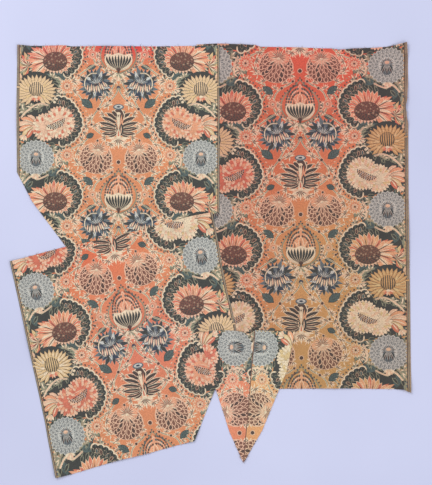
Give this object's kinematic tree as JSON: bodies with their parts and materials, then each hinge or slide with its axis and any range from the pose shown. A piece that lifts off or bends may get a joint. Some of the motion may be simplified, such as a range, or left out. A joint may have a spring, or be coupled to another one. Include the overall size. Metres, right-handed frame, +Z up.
{
  "type": "brocade panel",
  "caption": "Flat panel of figured silk, pieced from full loom widths and a pointed gore, with cut corners, lapped seams and raw ends.",
  "frame": {"origin": "on the surface the panel lies on, under the middle of its outline", "axes": "+Z up out of the cloth's right side, +Y along the warp of the large panel towards its raw top edge"},
  "size_m": [1.0035, 1.0898, 0.0074],
  "materials": {
    "right_panel_silk": "satin-ground silk, faded coral to ochre",
    "upper_left_panel_silk": "satin-ground silk, faded salmon",
    "lower_left_panel_silk": "satin-ground silk, salmon red",
    "gore_left_silk": "satin-ground silk, faded salmon",
    "gore_right_silk": "satin-ground silk, faded yellow"
  },
  "bodies": {
    "root": {"right_panel": "right_panel_silk", "upper_left_panel": "upper_left_panel_silk", "lower_left_panel": "lower_left_panel_silk", "gore_left": "gore_left_silk", "gore_right": "gore_right_silk"}
  },
  "joints": []
}
